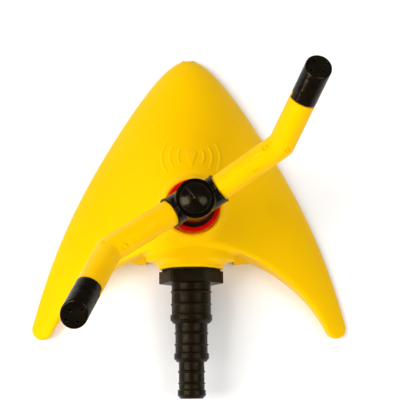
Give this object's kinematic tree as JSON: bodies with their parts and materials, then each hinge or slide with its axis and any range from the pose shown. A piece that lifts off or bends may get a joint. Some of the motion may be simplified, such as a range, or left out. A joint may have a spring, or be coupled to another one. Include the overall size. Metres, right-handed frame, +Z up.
{
  "type": "rotary lawn sprinkler",
  "caption": "Rotary lawn sprinkler: bent arms with drilled nozzle caps spin on a delta-wing sled base with a stepped hose tail.",
  "frame": {"origin": "middle of the footprint box, on the ground", "axes": "+Z up, +Y towards the nose of the base, the hose leaves along -Y, +X to the right seen from above with the nose ahead"},
  "size_m": [0.1956, 0.2144, 0.1193],
  "materials": {
    "yellow_plastic": "satin moulded polypropylene",
    "yellow_pipe": "satin, lightly scuffed",
    "red_plastic": "satin",
    "gloss_black_plastic": "gloss moulded",
    "matt_black_plastic": "matt, fine moulding texture",
    "seal_rubber": "matt",
    "white_washer": "waxy",
    "spindle_plastic": "machined acetal"
  },
  "bodies": {
    "base": {"base_shell": "yellow_plastic", "hose_connector": "matt_black_plastic", "inlet_gasket": "seal_rubber", "lock_nut": "red_plastic", "riser_seal": "seal_rubber", "swivel_bush": "gloss_black_plastic"},
    "head": {"upper_thrust_washer": "white_washer", "lower_thrust_washer": "white_washer", "spindle_clip": "spindle_plastic", "spindle": "spindle_plastic", "head_hub": "gloss_black_plastic", "dome_cap": "gloss_black_plastic", "dome_seal": "seal_rubber", "arm_right": "yellow_pipe", "arm_left": "yellow_pipe", "arm_seal_right": "seal_rubber", "arm_seal_left": "seal_rubber", "nozzle_seal_right": "seal_rubber", "nozzle_seal_left": "seal_rubber"},
    "nozzle_right": {"nozzle_cap_right": "gloss_black_plastic"},
    "nozzle_left": {"nozzle_cap_left": "gloss_black_plastic"}
  },
  "joints": [
    {"name": "head_spin", "type": "hinge", "parent": "base", "child": "head", "pos_m": [0, 0.0065, 0.0545], "axis": [0, 0, 1], "continuous": true},
    {"name": "nozzle_turn_right", "type": "hinge", "parent": "head", "child": "nozzle_right", "pos_m": [0.06041, 0.0597, 0.10165], "axis": [0.3473, 0.7249, 0.5948], "range_deg": [-12, 12]},
    {"name": "nozzle_turn_left", "type": "hinge", "parent": "head", "child": "nozzle_left", "pos_m": [-0.06041, -0.0467, 0.10165], "axis": [-0.3473, -0.7249, 0.5948], "range_deg": [-12, 12]}
  ]
}
